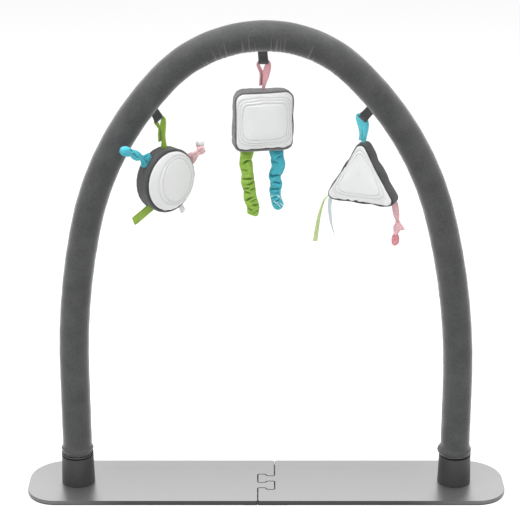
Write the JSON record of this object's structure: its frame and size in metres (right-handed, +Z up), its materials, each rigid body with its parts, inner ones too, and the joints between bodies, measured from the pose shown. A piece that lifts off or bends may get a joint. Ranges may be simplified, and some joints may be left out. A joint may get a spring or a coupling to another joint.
{
  "type": "baby toy arch",
  "caption": "Free-standing padded arch on a two-part jigsaw base plate, with soft disc, square and triangle toys hanging from webbing loops on ribbon straps.",
  "frame": {"origin": "middle of the base, on the surface that it stands on", "axes": "+Z up, +X along the base to the right as seen from the front, front towards -Y"},
  "size_m": [0.686, 0.127, 0.6888],
  "materials": {
    "plate_coat": "satin powder coat",
    "grip_rubber": "matt",
    "cup_plastic": "fine moulded grain",
    "screw_steel": "zinc plated",
    "core_plastic": "plain",
    "foam": "closed-cell foam",
    "cover_knit": "brushed jersey",
    "webbing": "woven",
    "green_ribbon": "woven ribbon",
    "pink_ribbon": "woven ribbon",
    "blue_ribbon": "woven ribbon",
    "closure": "hook and loop tape",
    "white_jersey": "quilted jersey",
    "grey_jersey": "heather jersey",
    "filling": "polyester fibre",
    "blue_jersey": "jersey",
    "green_jersey": "jersey",
    "pink_jersey": "jersey",
    "pale_ribbon": "satin ribbon",
    "pale_green_ribbon": "satin ribbon"
  },
  "bodies": {
    "base_left": {"base_plate_left": "plate_coat", "grip_mat_left": "grip_rubber", "socket_left": "cup_plastic", "socket_screws_left": "screw_steel"},
    "base_right": {"base_plate_right": "plate_coat", "grip_mat_right": "grip_rubber", "socket_right": "cup_plastic", "socket_screws_right": "screw_steel"},
    "arch": {"arch_core": "core_plastic", "foam_sleeve": "foam", "arch_cover": "cover_knit", "plug_left": "cup_plastic", "plug_right": "cup_plastic"},
    "loop_left": {"webbing_loop_left": "webbing"},
    "disc_strap": {"strap_disc": "green_ribbon", "hook_pad_disc": "closure", "loop_pad_disc": "closure"},
    "disc_toy": {"disc_front_panel": "white_jersey", "disc_back_panel": "white_jersey", "disc_gusset": "grey_jersey", "disc_filling": "filling", "disc_blue_knot": "blue_jersey", "disc_pink_knot": "pink_jersey", "disc_green_tag": "green_ribbon", "disc_pale_tag": "pale_ribbon"},
    "loop_middle": {"webbing_loop_middle": "webbing"},
    "square_strap": {"strap_square": "pink_ribbon", "hook_pad_square": "closure", "loop_pad_square": "closure"},
    "square_toy": {"square_front_panel": "white_jersey", "square_back_panel": "white_jersey", "square_gusset": "grey_jersey", "square_filling": "filling"},
    "loop_right": {"webbing_loop_right": "webbing"},
    "triangle_strap": {"strap_triangle": "blue_ribbon", "hook_pad_triangle": "closure", "loop_pad_triangle": "closure"},
    "triangle_toy": {"triangle_front_panel": "white_jersey", "triangle_back_panel": "white_jersey", "triangle_gusset": "grey_jersey", "triangle_filling": "filling"},
    "green_leg": {"square_green_leg": "green_jersey"},
    "blue_leg": {"square_blue_leg": "blue_jersey"},
    "green_ribbon": {"triangle_green_ribbon": "pale_green_ribbon"},
    "pale_ribbon": {"triangle_pale_ribbon": "pale_ribbon"},
    "pink_knot": {"triangle_pink_knot": "pink_jersey"}
  },
  "joints": [
    {"name": "base_halves_part", "type": "slide", "parent": "base_left", "child": "base_right", "axis": [0, 0, -1], "range_m": [0, 0.05]},
    {"name": "arch_lift", "type": "slide", "parent": "base_left", "child": "arch", "axis": [0, 0, 1], "range_m": [0, 0.06]},
    {"name": "left_loop_flap", "type": "hinge", "parent": "arch", "child": "loop_left", "pos_m": [-0.14741, 0, 0.56291], "axis": [0.7431, 0, 0.6691], "range_deg": [-30, 30]},
    {"name": "disc_swing", "type": "hinge", "parent": "loop_left", "child": "disc_strap", "pos_m": [-0.13932, 0, 0.55392], "axis": [0, 1, 0], "range_deg": [-6, 6]},
    {"name": "disc_turn", "type": "hinge", "parent": "disc_strap", "child": "disc_toy", "pos_m": [-0.13771, 0, 0.512], "axis": [0, 0, 1], "range_deg": [0, 90]},
    {"name": "middle_loop_flap", "type": "hinge", "parent": "arch", "child": "loop_middle", "pos_m": [-0.00543, 0, 0.64485], "axis": [1, 0, 0], "range_deg": [-60, 60]},
    {"name": "square_swing", "type": "hinge", "parent": "loop_middle", "child": "square_strap", "pos_m": [-0.00543, 0, 0.63025], "axis": [0, 1, 0], "range_deg": [-6, 6]},
    {"name": "square_turn", "type": "hinge", "parent": "square_strap", "child": "square_toy", "pos_m": [-0.00543, 0, 0.5951], "axis": [0, 0, 1], "range_deg": [-90, 90]},
    {"name": "right_loop_flap", "type": "hinge", "parent": "arch", "child": "loop_right", "pos_m": [0.13923, 0, 0.56139], "axis": [0.7431, 0, -0.6691], "range_deg": [-45, 45]},
    {"name": "triangle_swing", "type": "hinge", "parent": "loop_right", "child": "triangle_strap", "pos_m": [0.12946, 0, 0.55054], "axis": [0, 1, 0], "range_deg": [-6, 6]},
    {"name": "triangle_turn", "type": "hinge", "parent": "triangle_strap", "child": "triangle_toy", "pos_m": [0.12786, 0, 0.5216], "axis": [0, 0, 1], "range_deg": [-60, 60]},
    {"name": "green_leg_swing", "type": "hinge", "parent": "square_toy", "child": "green_leg", "pos_m": [-0.02646, -0.00447, 0.5124], "axis": [0.9781, 0.2079, 0], "range_deg": [-35, 35]},
    {"name": "blue_leg_swing", "type": "hinge", "parent": "square_toy", "child": "blue_leg", "pos_m": [0.01345, 0.00401, 0.5124], "axis": [0.9781, 0.2079, 0], "range_deg": [-35, 35]},
    {"name": "green_ribbon_swing", "type": "hinge", "parent": "triangle_toy", "child": "green_ribbon", "pos_m": [0.08973, 0.02318, 0.43879], "axis": [0.9135, -0.4067, 0], "range_deg": [-45, 45]},
    {"name": "pale_ribbon_swing", "type": "hinge", "parent": "triangle_toy", "child": "pale_ribbon", "pos_m": [0.08922, 0.01465, 0.43639], "axis": [0.9135, -0.4067, 0], "range_deg": [-45, 45]},
    {"name": "pink_knot_swing", "type": "hinge", "parent": "triangle_toy", "child": "pink_knot", "pos_m": [0.17683, -0.01231, 0.43669], "axis": [0.9135, -0.4067, 0], "range_deg": [-30, 30]}
  ]
}
